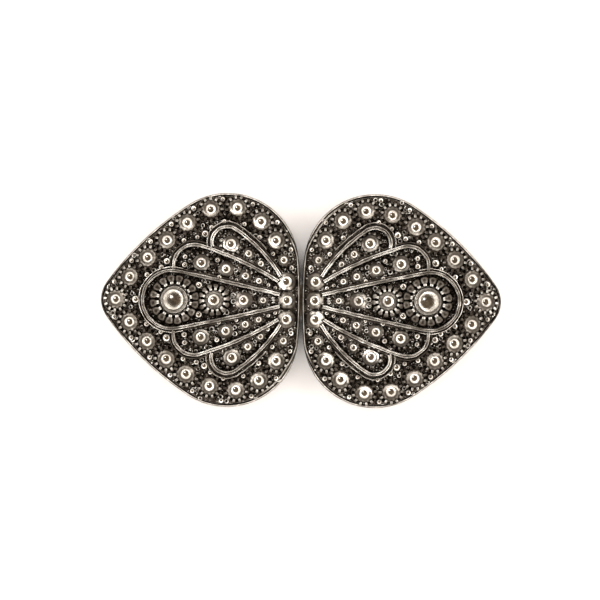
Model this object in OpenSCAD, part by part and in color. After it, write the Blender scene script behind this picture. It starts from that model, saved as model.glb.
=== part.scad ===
// Closed apron clasp, lying face up on the back edges of its two cast halves. Millimetres, +Z up.
// X runs along the waist with the joint at 0, Y runs up the body, Z = 0 is the surface that it rests on.
// The right half is the left half turned by half a turn, with its rivet posts at another height.

/* [Outline of a half] */
// Gap between the two halves at the joint
joint_gap = 0.3; // [0.2:0.05:0.6]
// Radius of the nearly straight edge beside the joint
edge_r = 77; // [70:1:90]
// Radius of the round lobes above and below
lobe_r = 11.4; // [11:0.1:11.8]
// Radius of the long flanks that run to the tip
flank_r = 50; // [46:1:56]
// Radius of the tip
tip_r = 4.6; // [4.2:0.1:5]
// Angle at which the joint edge passes into the lobe
lobe_start = 5; // [4:0.5:6]
// Angle at which the lobe passes into the flank
lobe_end = 123.4; // [121:0.2:125]

/* [Casting] */
// Height of the domed floor at its crown
dome_top = 4.8; // [4.7:0.1:6]
// Radius of the dome
dome_r = 100; // [90:5:140]
// Distance of the crown from the joint
dome_x = 15; // [12:0.5:18]
// Thickness of the domed plate
plate_t = 1.1; // [0.9:0.1:1.3]
// Thickness of the side wall
wall_t = 1.2; // [1:0.1:1.5]
// Width of the low step outside the rim band
step_w = 0.35; // [0.2:0.05:0.5]
// Width of the raised rim band
rim_w = 0.55; // [0.4:0.05:0.8]
// Height of the rim band over the floor
rim_h = 0.25; // [0.15:0.05:0.4]
// Depth of the step below the floor
step_drop = 0.35; // [0.2:0.05:0.5]

/* [Border rosettes] */
// Distance between neighbouring rosettes
border_pitch = 4.2; // [4.1:0.02:4.3]
// Inset of the rosettes from the outline at the tip
border_inset_tip = 2.25; // [2.15:0.05:2.4]
// Inset of the rosettes from the outline beside the joint
border_inset_joint = 2.75; // [2.6:0.05:2.9]
// Radius of the ball of a border rosette
border_ball_r = 0.8; // [0.7:0.05:0.9]
// Number of petals of a border rosette
border_petals = 12; // [10:1:16]

/* [Wire cells] */
// Width of the cell wires
wire_w = 0.62; // [0.5:0.02:0.75]
// Height of the cell wires over the floor
wire_h = 0.6; // [0.4:0.05:0.8]
// Width of the low ledge along the outer side of each wire
ledge_w = 0.45; // [0.3:0.05:0.5]
// Height of that ledge over the floor
ledge_h = 0.28; // [0.15:0.02:0.35]

/* [Hook and eye] */
// Width of the hook strip
hook_w = 5; // [4:0.5:6]
// Thickness of the hook strip
hook_t = 0.6; // [0.5:0.05:0.7]
// Thickness of the eye plate
eye_t = 0.8; // [0.6:0.05:0.8]
// Space between pieces that lie against each other
lie_gap = 0.1; // [0.05:0.01:0.12]
// Radius of the rivet shanks
rivet_r = 0.7; // [0.6:0.05:0.8]

/* [Sewing lugs] */
// Radius of the sewing holes
sew_hole_r = 1; // [0.8:0.05:1.1]
// Thickness of the lugs
lug_t = 1.2; // [1:0.1:1.5]

/* [Hidden] */
$fn = 48;
steel = "#b9b6b1";
cast_metal = "#8b8783";
// How deep the relief is rooted in the plate
root_depth = 0.5;
top_of_all = 12;

// Centres of the four arcs of the outline and the angles between which each is used
function dir(a) = [cos(a), sin(a)];
edge_c = [-joint_gap / 2 - edge_r, 0];
lobe_c = edge_c + (edge_r - lobe_r) * dir(lobe_start);
flank_c = lobe_c + (lobe_r - flank_r) * dir(lobe_end);
flank_end = 180 - asin(-flank_c.y / (flank_r - tip_r));
tip_c = flank_c + (flank_r - tip_r) * dir(flank_end);
ARC_C = [edge_c, lobe_c, flank_c, tip_c];
ARC_R = [edge_r, lobe_r, flank_r, tip_r];
ARC_FROM = [0, lobe_start, lobe_end, flank_end];
ARC_TO = [lobe_start, lobe_end, flank_end, 180];
ARC_STEPS = [2, 26, 8, 8];

// Points of the outline, set in by a distance
function upper(inset) = [for (i = [0:3]) for (k = [(i == 0 ? 0 : 1):ARC_STEPS[i]])
    ARC_C[i] + (ARC_R[i] - inset) * dir(ARC_FROM[i] + (ARC_TO[i] - ARC_FROM[i]) * k / ARC_STEPS[i])];
function outline(inset) = let (u = upper(inset), n = len(u) - 1)
    concat(u, [for (k = [n - 1:-1:1]) [u[k].x, -u[k].y]]);

// The point at a length along the border, counted from the tip on the middle inset, and set in
border_mid = (border_inset_tip + border_inset_joint) / 2;
function arc_length(i) = (ARC_R[i] - border_mid) * (ARC_TO[i] - ARC_FROM[i]) * PI / 180;
function along(s, inset, i = 3) = s <= arc_length(i) || i == 0
    ? ARC_C[i] + (ARC_R[i] - inset) * dir(ARC_TO[i] - s / (ARC_R[i] - border_mid) * 180 / PI)
    : along(s - arc_length(i), inset, i - 1);
function at_border(k, inset) = along(k * border_pitch, inset);
border_last = 8;
function border_inset(k) = border_inset_tip + (border_inset_joint - border_inset_tip) * k / border_last;

// Height of the domed floor over a point
function floor_z(x, y) = dome_top - dome_r + sqrt(pow(dome_r, 2) - pow(x + dome_x, 2) - pow(y, 2));

// Wire cells: x and y of the root, x and y of the round end, its radius, the radius of the bowed side,
// and the angle at which the wire ends on its neighbour
CELLS = [
    [-3.4, 0.95, -20.55, 0, 4.6, 400, 180],
    [-2.9, 2.55, -17, 5.5, 3.25, 50, 190],
    [-2.8, 3.05, -11.75, 9.2, 2.45, 24.5, 198]];
cell_steps = 8;
ledge_skip = 0.07;

// Centre of the bowed side, which passes through the root and touches the round end from outside
function bow_centre(c) = let (root = [c[0], c[1]], end = [c[2], c[3]], v = end - root, d = norm(v),
    along_v = (pow(c[5], 2) - pow(c[5] - c[4], 2) + d * d) / (2 * d),
    across_v = sqrt(pow(c[5], 2) - along_v * along_v))
    root + along_v * v / d + across_v * [-v.y, v.x] / d;

// The wire of a cell, set out by a distance from its middle line, without a share of its bowed side at the
// root: points round the centre of the bow, then round the centre of the end
function cell_path(c, out, skip) =
    let (b = bow_centre(c), end = [c[2], c[3]], root = atan2(c[1] - b.y, c[0] - b.x),
        touch = atan2(end.y - b.y, end.x - b.x), start = root + (touch - root) * skip)
    concat(arc_points(b, c[5] + out, start, touch, 0, cell_steps),
        arc_points(end, c[4] + out, touch, c[6], 1, cell_steps * 2));
function arc_points(centre, r, from, to, first, steps) =
    [for (k = [first:steps]) centre + r * dir(from + (to - from) * k / steps)];
function reversed(p) = [for (k = [len(p) - 1:-1:0]) p[k]];
module cell_strip(c, inner, outer, skip) {
    polygon(concat(cell_path(c, outer, skip), reversed(cell_path(c, inner, skip))));
}
module all_strips(inner, outer, skip) {
    for (c = CELLS) {
        cell_strip(c, inner, outer, skip);
        mirror([0, 1]) cell_strip(c, inner, outer, skip);
    }
}

// Rosettes and knobs inside the cells: x, y, radius of the ball, radius of the collar, radius over the
// petals, number of petals. Those off the axis are also mirrored.
ON_AXIS = [
    [-20.3, 0, 1.75, 2.2, 4.2, 16],
    [-13.95, 0, 0.95, 1.35, 2.6, 14],
    [-9.15, 0, 0.75, 1.4, 0, 0],
    [-6, 0, 0.45, 0.85, 0, 0],
    [-2.1, 0, 0.8, 1.1, 0, 0]];
OFF_AXIS = [
    [-16, 6, 0.8, 1.1, 1.85, 12],
    [-12, 5, 0.72, 1.2, 0, 0],
    [-8.85, 3.9, 0.5, 0.95, 0, 0],
    [-6.7, 3.1, 0.42, 0.8, 0, 0],
    [-5.2, 2.45, 0.3, 0.45, 0, 0],
    [-11.25, 9.05, 0.85, 1.15, 1.85, 12],
    [-8.4, 7.5, 0.5, 0.95, 0, 0],
    [-6.4, 5.85, 0.42, 0.8, 0, 0],
    [-5.25, 4.65, 0.3, 0.45, 0, 0],
    [-2.7, 6.5, 0.45, 0.75, 1.25, 10],
    [-2.2, 3.05, 0.85, 1.15, 0, 0]];

// Granules: those of the rim lie half way between the border rosettes, the others are x, y, radius
granule_r = 0.38;
rim_granule_inset = 0.95;
INNER_GRANULES = [[1.5, 4.25], [3.5, 4.25], [5.5, 4.5], [6.5, 4.4], [7.5, 4.65], [8.5, 3.9]];
GRANULES = [
    [-21.5, 6.15, 0.55],
    [-15.4, 10.6, 0.55],
    [-16.35, 2.35, 0.55],
    [-22.4, 5.2, 0.38],
    [-16.65, 10, 0.38],
    [-14.4, 11.6, 0.38],
    [-18.65, 5.6, 0.42],
    [-18.6, 6.9, 0.38],
    [-13.4, 6.4, 0.38],
    [-13.1, 3.6, 0.38],
    [-10.3, 3.2, 0.3],
    [-1.5, 5.25, 0.38]];

// A layer that follows the dome between two heights over its floor
module dome_layer(low, high) {
    translate([-dome_x, 0, dome_top - dome_r]) difference() {
        sphere(dome_r + high, $fn = 128);
        sphere(dome_r + low, $fn = 128);
    }
}
module under_dome(high) {
    translate([-dome_x, 0, dome_top - dome_r]) sphere(dome_r + high, $fn = 128);
}
module prism(inset) {
    linear_extrude(top_of_all) polygon(outline(inset));
}

// A ring of petals seen from above: a disc with a notch between neighbours
petal_h = 0.4;
notch_share = 0.86;
module petals(count, r) {
    step = 360 / count;
    linear_extrude(root_depth + petal_h) polygon([for (k = [0:count - 1]) for (j = [0:2])
        (j == 0 ? r * notch_share : r) * dir(step * (k + j * 0.3))]);
}

// A ball on its conical collar, inside a ring of petals where it has one
collar_top_share = 0.85;
module knob(x, y, ball_r, collar_r, petals_r, count) {
    rise = 0.3 + ball_r * 0.3;
    translate([x, y, floor_z(x, y) - root_depth]) {
        if (count > 0) petals(count, petals_r);
        cylinder(h = root_depth + rise, r1 = collar_r * 1.15, r2 = ball_r * collar_top_share);
        translate([0, 0, root_depth + rise]) sphere(ball_r);
    }
}
module knob_pair(k) {
    knob(k[0], k[1], k[2], k[3], k[4], k[5]);
    knob(k[0], -k[1], k[2], k[3], k[4], k[5]);
}
module granule(p, r) {
    for (side = [-1, 1]) translate([p.x, side * p.y, floor_z(p.x, p.y) + r / 3]) sphere(r, $fn = 24);
}

module border() {
    for (k = [0:border_last]) let (p = at_border(k, border_inset(k)))
        for (side = (k == 0 ? [1] : [-1, 1]))
            knob(p.x, side * p.y, border_ball_r, 1.1, 1.95, border_petals);
}
module granules() {
    for (k = [0:border_last]) granule(at_border(k + 0.5, rim_granule_inset), granule_r);
    for (g = INNER_GRANULES) granule(at_border(g[0], g[1]), granule_r);
    for (g = GRANULES) granule([g[0], g[1]], g[2]);
    translate([-26.5, 0, floor_z(-26.5, 0) + 0.18]) sphere(0.55, $fn = 24);
}
module relief() {
    border();
    for (k = ON_AXIS) knob(k[0], k[1], k[2], k[3], k[4], k[5]);
    for (k = OFF_AXIS) knob_pair(k);
    granules();
    intersection() {
        linear_extrude(top_of_all) all_strips(-wire_w / 2, wire_w / 2, 0);
        dome_layer(-root_depth, wire_h);
    }
    intersection() {
        linear_extrude(top_of_all) all_strips(0, wire_w / 2 + ledge_w, ledge_skip);
        dome_layer(-root_depth, ledge_h);
    }
}

// Heights of the hook and eye, from the back edges up
leg_z = 0.15;
eye_z = leg_z + hook_t + lie_gap;
strip_z = eye_z + eye_t + lie_gap;
strip_top = strip_z + hook_t;
notch_w = hook_w + 1;
notch_l = 3;

// The domed plate with its stepped rim, hollow behind, with a notch for the hook beside the joint
module shell() {
    difference() {
        union() {
            intersection() {
                prism(0);
                under_dome(-step_drop);
            }
            intersection() {
                prism(step_w);
                under_dome(0);
            }
            intersection() {
                difference() {
                    prism(step_w);
                    prism(step_w + rim_w);
                }
                dome_layer(-root_depth, rim_h);
            }
        }
        intersection() {
            translate([0, 0, -1]) prism(wall_t);
            under_dome(-plate_t);
        }
        translate([-notch_l, -notch_w / 2, -1]) cube([notch_l + 1, notch_w, 1 + strip_top + lie_gap]);
    }
}

// Lugs with a round hole each, level with the back edges: x, y and the direction of the wall
LUGS = [[-27.4, 0, 180], [-11.8, 13, 90], [-11.8, -13, 270]];
lug_r = 2.4;
module sewing_lugs() {
    for (lug = LUGS) linear_extrude(lug_t) intersection() {
        polygon(outline(wall_t / 2));
        translate([lug[0], lug[1]]) rotate(lug[2]) {
            circle(lug_r);
            translate([0, -lug_r]) square([lug_r * 2, lug_r * 2]);
        }
    }
}
module sewing_holes() {
    for (lug = LUGS) translate([lug[0], lug[1], -1]) cylinder(h = lug_t + 2, r = sew_hole_r);
}

// A post from the plate to the piece that it holds, its shank and its round head
post_r = 1.5;
head_r = 1.2;
head_t = 0.45;
rivet_space = 0.05;
module rivet_post(x, y, seat_z, grip) {
    head_top = seat_z - grip - rivet_space * 2;
    translate([x, y, seat_z]) cylinder(h = floor_z(x, y) - plate_t / 2 - seat_z, r = post_r);
    translate([x, y, head_top - head_t / 2]) cylinder(h = seat_z - head_top + head_t, r = rivet_r);
    translate([x, y, head_top - head_t]) cylinder(h = head_t, r = head_r);
}

module casting(posts, seat_z, grip) {
    difference() {
        union() {
            shell();
            relief();
            sewing_lugs();
            for (p = posts) rivet_post(p[0], p[1], seat_z, grip);
        }
        sewing_holes();
    }
}

HOOK_RIVETS = [[-7, 0], [-11, 0]];
// Rivets of the eye, given in the frame of a half before it is turned to the right
EYE_RIVETS = [[-10.6, -2.4], [-10.6, 2.4]];

module left_half() {
    color(cast_metal) casting(HOOK_RIVETS, strip_top + rivet_space, hook_t);
}
module right_half() {
    color(cast_metal) rotate(180) casting(EYE_RIVETS, eye_z + eye_t + rivet_space, eye_t);
}

// Where the hook turns down round the bar, and the room round the shanks
bend_x = 4.5;
bend_in = eye_t / 2 + lie_gap;
bend_z = eye_z + eye_t / 2;
hook_tail_x = -11;
hole_space = 0.1;
leg_end_x = 1.6;
module hook() {
    color(steel) difference() {
        union() {
            translate([hook_tail_x, -hook_w / 2, strip_z]) cube([bend_x - hook_tail_x, hook_w, hook_t]);
            translate([hook_tail_x, 0, strip_z]) cylinder(h = hook_t, r = hook_w / 2);
            translate([bend_x, hook_w / 2, bend_z]) rotate([90, 0, 0]) intersection() {
                difference() {
                    cylinder(h = hook_w, r = bend_in + hook_t);
                    translate([0, 0, -1]) cylinder(h = hook_w + 2, r = bend_in);
                }
                translate([0, -2, 0]) cube([3, 4, hook_w]);
            }
            translate([leg_end_x, -hook_w / 2, leg_z]) cube([bend_x - leg_end_x, hook_w, hook_t]);
        }
        for (p = HOOK_RIVETS) translate([p[0], p[1], strip_z - 1])
            cylinder(h = hook_t + 2, r = rivet_r + hole_space);
    }
}

// The eye plate: a bar with a round edge on its window side, two arms, and a tail with the rivet holes
eye_x = 3.1;
eye_l = 9.9;
eye_w = 9;
window_l = 3.6;
window_w = hook_w + 1;
eye_corner_r = 1.5;
module eye() {
    color(steel) difference() {
        union() {
            difference() {
                translate([0, 0, eye_z]) linear_extrude(eye_t) union() {
                    translate([eye_x + eye_corner_r, -eye_w / 2]) square([eye_l - eye_corner_r * 2, eye_w]);
                    translate([eye_x, eye_corner_r - eye_w / 2]) square([eye_l, eye_w - eye_corner_r * 2]);
                    for (x = [eye_x + eye_corner_r, eye_x + eye_l - eye_corner_r])
                        for (side = [-1, 1])
                            translate([x, side * (eye_w / 2 - eye_corner_r)]) circle(eye_corner_r);
                }
                translate([bend_x, -window_w / 2, 0]) cube([window_l, window_w, 4]);
            }
            translate([bend_x, window_w / 2, bend_z]) rotate([90, 0, 0])
                cylinder(h = window_w, r = eye_t / 2);
        }
        for (p = EYE_RIVETS) translate([-p[0], -p[1], 0]) cylinder(h = 4, r = rivet_r + hole_space);
    }
}

left_half();
right_half();
hook();
eye();
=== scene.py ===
import math
import random

import bmesh
import bpy
from mathutils import Matrix, Vector, noise


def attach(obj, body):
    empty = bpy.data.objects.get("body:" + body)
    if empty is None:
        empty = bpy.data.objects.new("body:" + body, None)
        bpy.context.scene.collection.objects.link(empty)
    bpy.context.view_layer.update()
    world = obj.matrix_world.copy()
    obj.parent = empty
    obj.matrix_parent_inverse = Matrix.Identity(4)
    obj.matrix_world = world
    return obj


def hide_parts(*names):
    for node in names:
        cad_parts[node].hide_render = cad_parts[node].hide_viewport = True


# Closed apron clasp, lying face up on its back edges. The model is in metres, in the frame of the packed
# part, and the sizes below are in millimetres. The left half is modelled, and the right half is its copy,
# turned by half a turn.
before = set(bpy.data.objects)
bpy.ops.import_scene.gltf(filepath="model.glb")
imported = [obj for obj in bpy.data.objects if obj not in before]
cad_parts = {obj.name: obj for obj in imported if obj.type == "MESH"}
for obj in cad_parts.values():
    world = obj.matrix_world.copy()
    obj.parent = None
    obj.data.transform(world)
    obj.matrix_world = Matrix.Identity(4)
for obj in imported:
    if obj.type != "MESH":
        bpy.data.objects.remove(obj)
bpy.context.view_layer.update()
random.seed(7)
# Unseeded, noise_vector starts from the clock
noise.seed_set(7)
MM = 0.001


# Table, light and camera
# The clasp lies on a white board in a light tent: white cloth all round, and a dark opening overhead for the
# camera. Polished domes mirror it as a white ring round a dark middle. One small lamp stands beside the
# camera. The board glows a little, a painted light. In the narrow slot at the joint, where hardly any sky
# reaches it, the glow goes and the board's colour is darkened: painted shade.
def let_go():
    """Leaves edit mode and selects nothing."""
    if bpy.context.mode != "OBJECT":
        bpy.ops.object.mode_set(mode="OBJECT")
    bpy.ops.object.select_all(action="DESELECT")


def srgb(code):
    """A hex colour as the linear colour that a shader works with."""
    parts = [int(code[i:i + 2], 16) / 255 for i in (1, 3, 5)]
    return [c / 12.92 if c <= 0.04045 else ((c + 0.055) / 1.055) ** 2.4 for c in parts] + [1]


def add_node(tree, kind, links=None, **settings):
    """Adds a node with its settings, and gives each named input a value or a link from another's socket."""
    made = tree.nodes.new("ShaderNode" + kind)
    for name, value in settings.items():
        setattr(made, name, value)
    for socket, value in (links or {}).items():
        if isinstance(value, bpy.types.NodeSocket):
            tree.links.new(value, made.inputs[socket])
        else:
            made.inputs[socket].default_value = value
    return made


def fill_ramp(ramp, stops):
    """Gives a colour ramp its stops of place and hex colour."""
    while len(ramp.elements) < len(stops):
        ramp.elements.new(1)
    for element, (place, code) in zip(ramp.elements, stops):
        element.position = place
        element.color = srgb(code)


def new_material(name):
    """An empty node material, and its node tree."""
    made = bpy.data.materials.new(name)
    made.use_nodes = True
    made.node_tree.nodes.clear()
    return made, made.node_tree


let_go()
table_size = 3.0
table_drop = 0.02
bpy.ops.mesh.primitive_plane_add(size=table_size, location=(0, 0, -table_drop * MM))
table = bpy.context.object
table.name = "table"
# Matt white card, which shows soft shade and no mirror image, with a painted glow and painted shade
white_board, tree = new_material("matt_white_board")
sky_reach = 4.0
open_sky = add_node(tree, "AmbientOcclusion", {"Distance": sky_reach * MM}, samples=16)
# Painted glow: the board gives off light of its own, which fades out where little sky reaches it
painted_glow = add_node(tree, "MapRange", {
    "Value": open_sky.outputs["AO"], "From Min": 0.1, "From Max": 0.22, "To Min": 0.0, "To Max": 0.13})
# Painted shade: the board's colour turns grey where little sky reaches it, and is white elsewhere
board = add_node(tree, "ValToRGB", {"Fac": open_sky.outputs["AO"]})
fill_ramp(board.color_ramp, [(0.1, "#3c3a38"), (0.17, "#f4f2f1")])
surface = add_node(tree, "BsdfPrincipled", {
    "Base Color": board.outputs[0], "Roughness": 0.9, "Specular IOR Level": 0.1,
    "Emission Color": srgb("#fff6f2"), "Emission Strength": painted_glow.outputs[0]})
add_node(tree, "OutputMaterial", {"Surface": surface.outputs[0]})
table.data.materials.append(white_board)

tent = bpy.data.worlds.new("light_tent")
bpy.context.scene.world = tent
tent.use_nodes = True
tree = tent.node_tree
tree.nodes.clear()
way = add_node(tree, "TexCoord").outputs["Generated"]
height = add_node(tree, "SeparateXYZ", {"Vector": way})
height = add_node(tree, "MapRange", {"Value": height.outputs["Z"], "From Min": -1.0, "From Max": 1.0})
folds = add_node(tree, "TexNoise", {"Vector": way, "Scale": 2.2, "Detail": 1.0})
height = add_node(tree, "Math", {
    0: folds.outputs["Fac"], 1: 0.16, 2: height.outputs[0]}, operation="MULTIPLY_ADD")
cloth = add_node(tree, "ValToRGB", {"Fac": height.outputs[0]})
fill_ramp(cloth.color_ramp, [(0.0, "#f6f3f0"), (0.86, "#fffcf8"), (0.92, "#483f34"), (1.0, "#372f26")])
tent_strength = 4.2
glow = add_node(tree, "Background", {"Color": cloth.outputs[0], "Strength": tent_strength})
add_node(tree, "OutputWorld", {"Surface": glow.outputs[0]})

lamp_away = 0.35
lamp_from_zenith = 27.6
lamp_azimuth = 140.0
lamp_size = 0.075
lamp_power = 0.09
lamp_data = bpy.data.lights.new("small_lamp", "AREA")
lamp_data.size = lamp_size
lamp_data.energy = lamp_power
lamp = bpy.data.objects.new("small_lamp", lamp_data)
bpy.context.collection.objects.link(lamp)
lean, round_z = math.radians(lamp_from_zenith), math.radians(lamp_azimuth)
lamp_way = Vector((math.sin(lean) * math.cos(round_z), math.sin(lean) * math.sin(round_z), math.cos(lean)))
lamp.location = lamp_way * lamp_away
lamp.rotation_euler = lamp.location.to_track_quat("Z", "Y").to_euler()
lamp.visible_camera = False

camera_height = 0.3
rim_level = 3.2
field_width = 95.8
view_centre = (-0.16, 0.09)
camera_roll = 0.46
sensor_width = 36.0
camera_data = bpy.data.cameras.new("camera")
camera_data.sensor_width = sensor_width
camera_data.lens = sensor_width * (camera_height / MM - rim_level) / field_width
camera_data.clip_start = 0.01
camera = bpy.data.objects.new("camera", camera_data)
bpy.context.collection.objects.link(camera)
camera.location = (view_centre[0] * MM, view_centre[1] * MM, camera_height)
camera.rotation_euler.z = math.radians(camera_roll)
bpy.context.scene.camera = camera
bpy.context.scene.view_settings.view_transform = "Standard"


# Domed plates
# Each half is one hollow casting of a silver-coloured zinc alloy, 1.1 mm thick, with a stepped rim. Its
# outline is four arcs from the joint round the lobe and the flank to the tip, mirrored across the long axis.
# Its relief is cast with it, and stands in the sections below as pieces of their own.
joint_gap = 0.3
edge_r, lobe_r, flank_r, tip_r = 77, 11.4, 50, 4.6
lobe_start, lobe_end = 5, 123.4
dome_top, dome_r, dome_x = 4.8, 100, 15
plate_t, wall_t = 1.1, 1.2


def polar(centre, radius, angle):
    """The point at a distance and an angle in degrees from a centre."""
    turn = math.radians(angle)
    return (centre[0] + radius * math.cos(turn), centre[1] + radius * math.sin(turn))


def angle_to(centre, point):
    """The angle in degrees at which a point lies from a centre."""
    return math.degrees(math.atan2(point[1] - centre[1], point[0] - centre[0]))


edge_c = (-joint_gap / 2 - edge_r, 0)
lobe_c = polar(edge_c, edge_r - lobe_r, lobe_start)
flank_c = polar(lobe_c, lobe_r - flank_r, lobe_end)
flank_end = 180 - math.degrees(math.asin(-flank_c[1] / (flank_r - tip_r)))
tip_c = polar(flank_c, flank_r - tip_r, flank_end)
# Centre, radius, angle from, angle to, steps
OUTLINE = [
    (edge_c, edge_r, 0, lobe_start, 8),
    (lobe_c, lobe_r, lobe_start, lobe_end, 44),
    (flank_c, flank_r, lobe_end, flank_end, 20),
    (tip_c, tip_r, flank_end, 180, 12)]


def floor_z(x, y):
    """Height of the domed floor of a half."""
    return dome_top - dome_r + math.sqrt(dome_r ** 2 - (x + dome_x) ** 2 - y ** 2)


def start_path(x, y):
    """Opens a new mesh in edit mode with one selected vertex, from which a line is spun."""
    let_go()
    bpy.ops.mesh.primitive_plane_add(size=MM)
    bpy.ops.object.mode_set(mode="EDIT")
    bpy.ops.mesh.select_mode(type="VERT")
    bpy.ops.mesh.select_all(action="SELECT")
    bpy.ops.mesh.merge(type="CENTER")
    bpy.ops.transform.translate(value=(x * MM, y * MM, 0))


def spin_on(centre, degrees, steps):
    """Spins the selected vertex on round a centre. Without a window a positive angle turns clockwise."""
    middle = (centre[0] * MM, centre[1] * MM, 0)
    bpy.ops.mesh.spin(steps=steps, angle=-math.radians(degrees), center=middle, axis=(0, 0, 1))


def mark(piece, **values):
    """Writes values to the selected vertices of a mesh in edit mode, as attributes of those names."""
    mesh = bmesh.from_edit_mesh(piece.data)
    for name, value in values.items():
        layer = mesh.verts.layers.float.get(name) or mesh.verts.layers.float.new(name)
        for v in mesh.verts:
            if v.select:
                v[layer] = value
    bmesh.update_edit_mesh(piece.data)


def cut_up(piece, part, step):
    """Cuts the faces of one part of a plate along lines both ways, so that it can follow the dome."""
    length, half_width, alike = 33, 18, 0.01
    along = [-k * step for k in range(int(length / step) + 1)]
    across = [k * step for k in range(-int(half_width / step), int(half_width / step) + 1)]
    for lines, way in ((along, (1, 0, 0)), (across, (0, 1, 0))):
        for line in lines:
            mesh = bmesh.from_edit_mesh(piece.data)
            layer = mesh.verts.layers.float["part"]
            for f in mesh.faces:
                f.select_set(all(abs(v[layer] - part) < alike for v in f.verts))
            bmesh.update_edit_mesh(piece.data)
            bpy.ops.mesh.bisect(plane_co=(line * MM * way[0], line * MM * way[1], 0), plane_no=way)


def recalculated(piece):
    """Turns all faces of a closed piece outwards."""
    let_go()
    bpy.context.view_layer.objects.active = piece
    piece.select_set(True)
    bpy.ops.object.mode_set(mode="EDIT")
    bpy.ops.mesh.select_all(action="SELECT")
    bpy.ops.mesh.normals_make_consistent(inside=False)
    bpy.ops.object.mode_set(mode="OBJECT")
    return piece


def smooth(piece, degrees=50):
    """Shades a piece smooth, apart from its sharp edges."""
    let_go()
    bpy.context.view_layer.objects.active = piece
    piece.select_set(True)
    bpy.ops.object.shade_smooth_by_angle(angle=math.radians(degrees))


# Inset from the outline, height over the floor, polish
RIM = [
    (0.00, -0.95, 0.0), (0.06, -0.72, 0.2), (0.11, -0.66, 0.68), (0.19, -0.59, 0.72), (0.26, -0.53, 0.64),
    (0.31, -0.57, 0.05), (0.36, -0.66, 0.0), (0.46, -0.64, 0.0), (0.51, -0.25, 0.15), (0.57, 0.12, 0.6),
    (0.65, 0.23, 0.7), (0.74, 0.24, 0.7), (0.83, 0.16, 0.55), (0.89, 0.02, 0.3), (0.95, -0.02, 0.15)]
SIDE, FACE, BACK = 0, 1, 2
wall_polish, wall_satin = 0.47, 0.45
back_polish = 0.35
face_step = 0.75
back_step = 2.0
weld = 0.01


def narrowed(x, y):
    """Where a point of the face goes: beside the joint, and some way round a lobe, the rim is narrower."""
    inset_from, inset_to = (0, 0.46, 0.95, 2.5), (0, 0.03, 0.4, 2.5)
    all_to, none_from = 8, 28
    side = -1 if y < 0 else 1
    centre, radius, much = edge_c, edge_r, 1.0
    angle = angle_to(lobe_c, (x, y * side))
    if angle > lobe_start:
        centre, radius, much = lobe_c, lobe_r, min(1, max(0, (none_from - angle) / (none_from - all_to)))
    off = Vector((x - centre[0], y * side - centre[1]))
    inset = radius - off.length
    for k in range(len(inset_from) - 1):
        if much and inset_from[k] <= inset < inset_from[k + 1]:
            share = (inset - inset_from[k]) / (inset_from[k + 1] - inset_from[k])
            moved = inset_to[k] + share * (inset_to[k + 1] - inset_to[k])
            off *= (radius - inset - much * (moved - inset)) / off.length
            return centre[0] + off.x, (centre[1] + off.y) * side
    return x, y


def domed_plate():
    """The plate of the left half, before its notch is cut."""
    start_path(*polar(edge_c, edge_r, 0))
    plate = bpy.context.object
    for centre, radius, start, end, steps in OUTLINE:
        spin_on(centre, end - start, steps)
    bpy.ops.mesh.select_all(action="SELECT")
    bpy.ops.mesh.duplicate()
    bpy.ops.transform.resize(value=(1, -1, 1), center_override=(0, 0, 0))
    bpy.ops.mesh.select_all(action="SELECT")
    bpy.ops.mesh.remove_doubles(threshold=weld * MM)
    bpy.ops.mesh.edge_face_add()
    mark(plate, part=SIDE, over=0.0, polish=wall_polish, satin=wall_satin)
    bpy.ops.mesh.select_mode(type="FACE")
    bpy.ops.mesh.select_all(action="SELECT")
    # Up to any height, because the dome's own heights are given at the end
    any_height = 3
    bpy.ops.mesh.extrude_region_move(TRANSFORM_OT_translate={"value": (0, 0, any_height * MM)})
    before = 0
    for inset, over, polish in RIM:
        if inset > before:
            bpy.ops.mesh.inset(thickness=(inset - before) * MM, depth=0)
        mark(plate, part=FACE, over=over, polish=polish)
        before = inset
    last = RIM[-1][1]
    mark(plate, part=FACE + 0.5, over=last)
    cut_up(plate, FACE + 0.5, face_step)
    mesh = bmesh.from_edit_mesh(plate.data)
    for f in mesh.faces:
        f.select_set(all(v.co.z < MM for v in f.verts))
    bmesh.update_edit_mesh(plate.data)
    bpy.ops.mesh.inset(thickness=wall_t * MM, depth=0)
    mark(plate, polish=back_polish)
    bpy.ops.mesh.extrude_region_move(TRANSFORM_OT_translate={"value": (0, 0, MM)})
    mark(plate, part=BACK + 0.5, over=-plate_t)
    cut_up(plate, BACK + 0.5, back_step)
    bpy.ops.object.mode_set(mode="OBJECT")
    part, over = plate.data.attributes["part"].data, plate.data.attributes["over"].data
    for v, p, h in zip(plate.data.vertices, part, over):
        if p.value > SIDE + 0.5:
            x, y = v.co.x / MM, v.co.y / MM
            if p.value < BACK:
                x, y = narrowed(x, y)
            v.co = Vector((x, y, floor_z(x, y) + h.value)) * MM
    return recalculated(plate)


def cut_notch(plate):
    """Cuts the way of the hook through the wall beside the joint, from the back edge up."""
    notch_l, notch_w, notch_h = 3, 6, 2.45
    let_go()
    bpy.ops.mesh.primitive_cube_add(size=1, location=((1 - notch_l) / 2 * MM, 0, (notch_h - 1) / 2 * MM))
    cutter = bpy.context.object
    cutter.scale = ((notch_l + 1) * MM, notch_w * MM, (notch_h + 1) * MM)
    bpy.ops.object.transform_apply(location=True, rotation=False, scale=True)
    let_go()
    bpy.context.view_layer.objects.active = plate
    plate.select_set(True)
    cut = plate.modifiers.new("notch", "BOOLEAN")
    cut.operation, cut.object, cut.solver = "DIFFERENCE", cutter, "EXACT"
    bpy.ops.object.modifier_apply(modifier="notch")
    bpy.data.objects.remove(cutter)


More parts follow.
